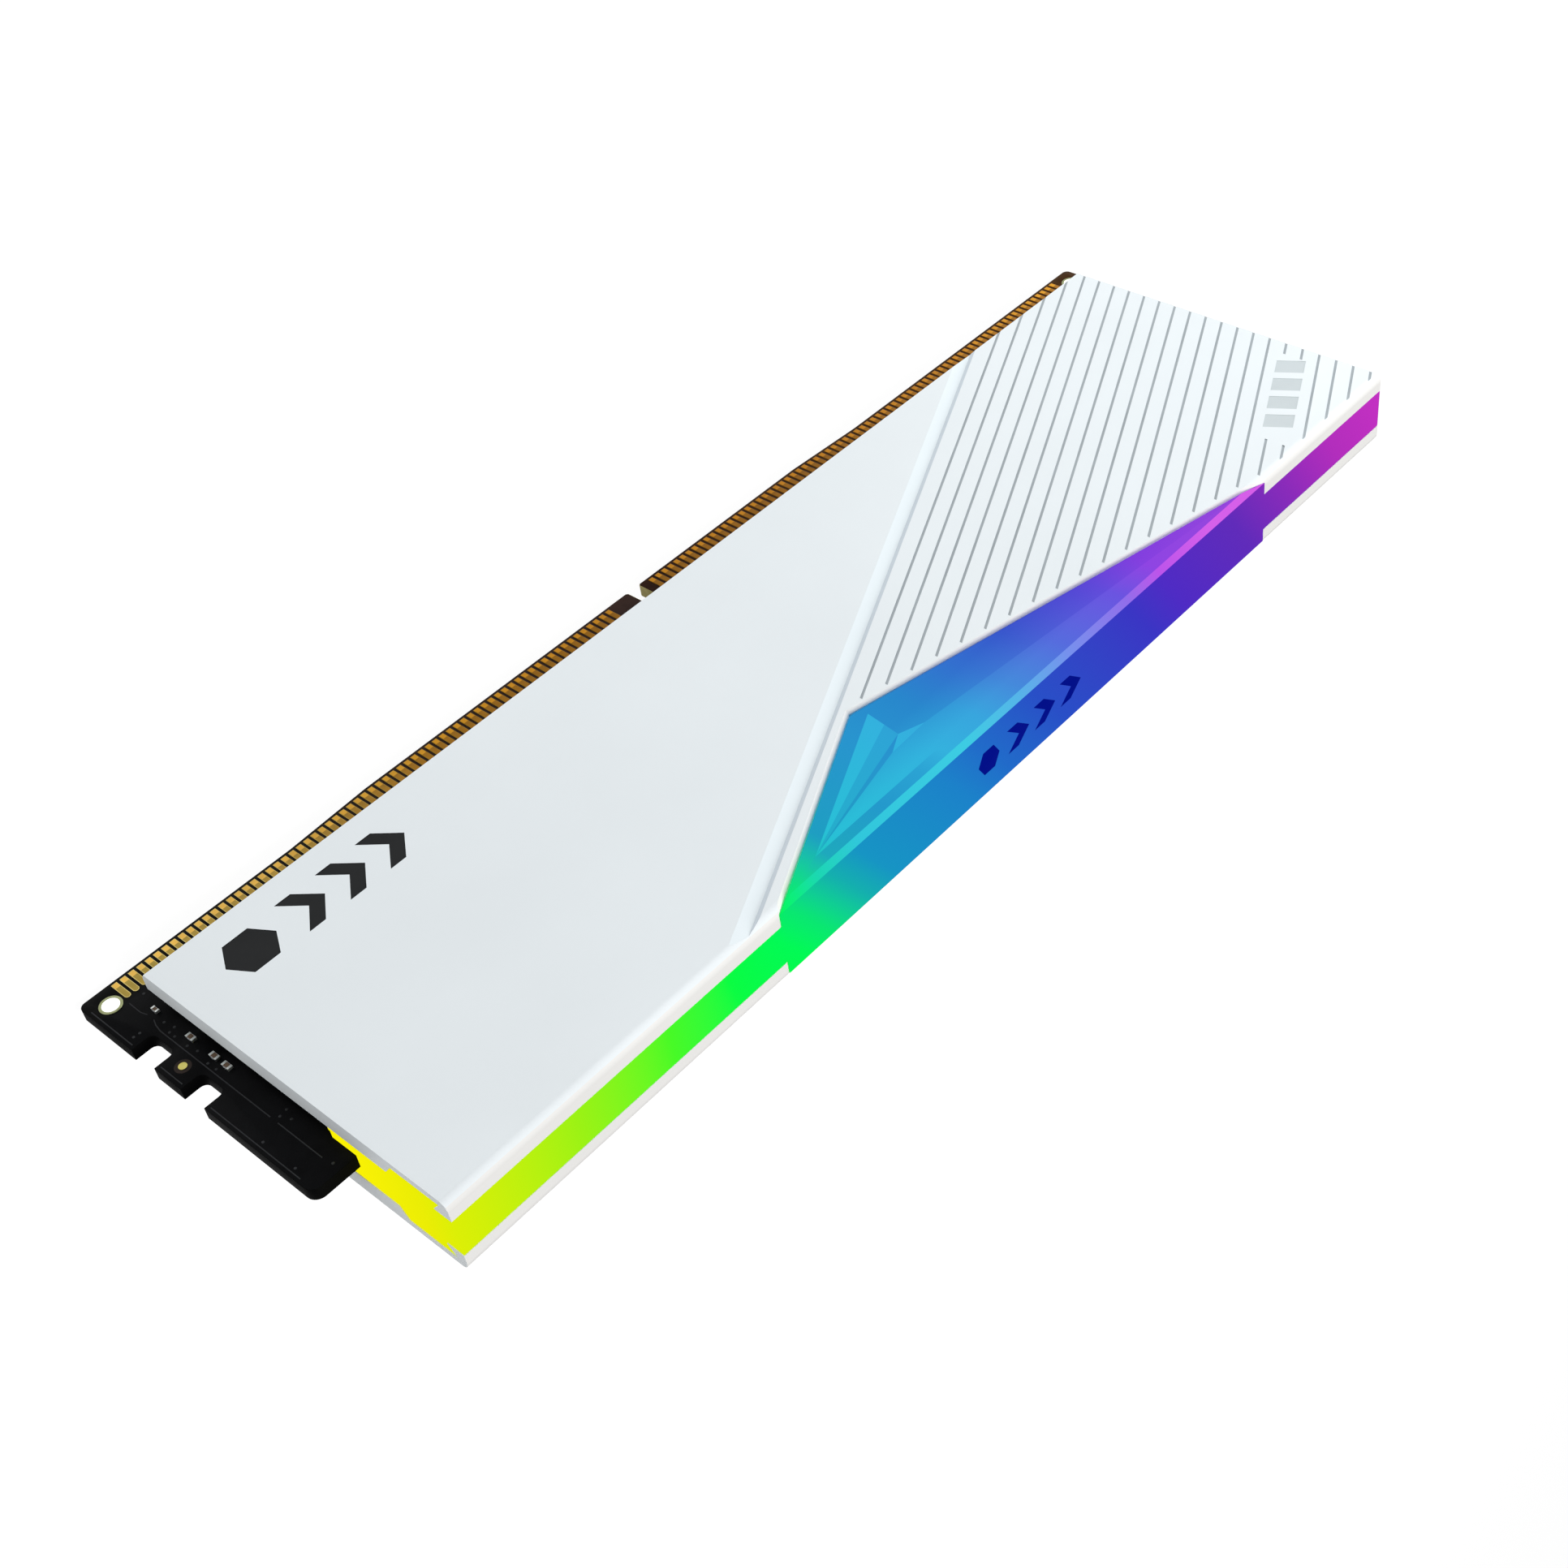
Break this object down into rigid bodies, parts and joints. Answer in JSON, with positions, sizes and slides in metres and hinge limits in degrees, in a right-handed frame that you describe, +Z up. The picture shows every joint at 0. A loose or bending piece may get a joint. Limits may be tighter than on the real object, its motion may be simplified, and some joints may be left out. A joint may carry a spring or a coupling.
{
  "type": "desktop memory module",
  "caption": "Desktop memory module: black board with gold edge contacts between white faceted heat spreaders, with a lit translucent bar along the top edge.",
  "frame": {"origin": "middle of the board's contact edge, on its lowest flat stretch, half way through the board's thickness", "axes": "+X along the module's length, towards the shorter row of contacts; +Y through its thickness, from the front plate to the back plate; +Z up from the contact edge to the light bar"},
  "size_m": [0.1334, 0.0078, 0.0427],
  "materials": {
    "board": "satin black solder mask over glass-epoxy laminate",
    "contacts": "hard gold plating, satin",
    "lands": "plated hole, dull",
    "plate_front": "white satin paint on aluminium",
    "plate_back": "white satin paint on aluminium",
    "light_bar": "translucent acrylic, lit from inside",
    "thermal_pad": "matte silicone gap pad",
    "chip": "matte moulding compound",
    "controller": "matte moulding compound",
    "led": "clear resin over a white package",
    "coil": "moulded iron-powder power coil, matte",
    "capacitor": "ceramic with tinned ends",
    "resistor": "ceramic with tinned ends"
  },
  "bodies": {
    "root": {"board": "board", "contacts_front_short": "contacts", "contacts_front_long": "contacts", "contacts_back_short": "contacts", "contacts_back_long": "contacts", "test_pad_front": "contacts", "test_pad_back": "contacts", "eyelet_right": "lands", "eyelet_left": "lands", "heat_spreader_front": "plate_front", "heat_spreader_back": "plate_back", "light_bar": "light_bar", "thermal_pad_front": "thermal_pad", "thermal_pad_back": "thermal_pad", "dram_front_1": "chip", "dram_front_2": "chip", "dram_front_3": "chip", "dram_front_4": "chip", "dram_front_5": "chip", "dram_front_6": "chip", "dram_front_7": "chip", "dram_front_8": "chip", "dram_back_1": "chip", "dram_back_2": "chip", "dram_back_3": "chip", "dram_back_4": "chip", "dram_back_5": "chip", "dram_back_6": "chip", "dram_back_7": "chip", "dram_back_8": "chip", "spd_hub": "controller", "pmic": "controller", "led_driver": "controller", "inductor_1": "coil", "inductor_2": "coil", "inductor_3": "coil", "led_1": "led", "led_2": "led", "led_3": "led", "led_4": "led", "led_5": "led", "led_6": "led", "led_7": "led", "led_8": "led", "capacitor_1": "capacitor", "capacitor_2": "capacitor", "capacitor_3": "capacitor", "capacitor_4": "capacitor", "capacitor_5": "capacitor", "capacitor_6": "capacitor", "resistor_1": "resistor", "resistor_2": "resistor", "resistor_3": "resistor", "resistor_4": "resistor"}
  },
  "joints": []
}
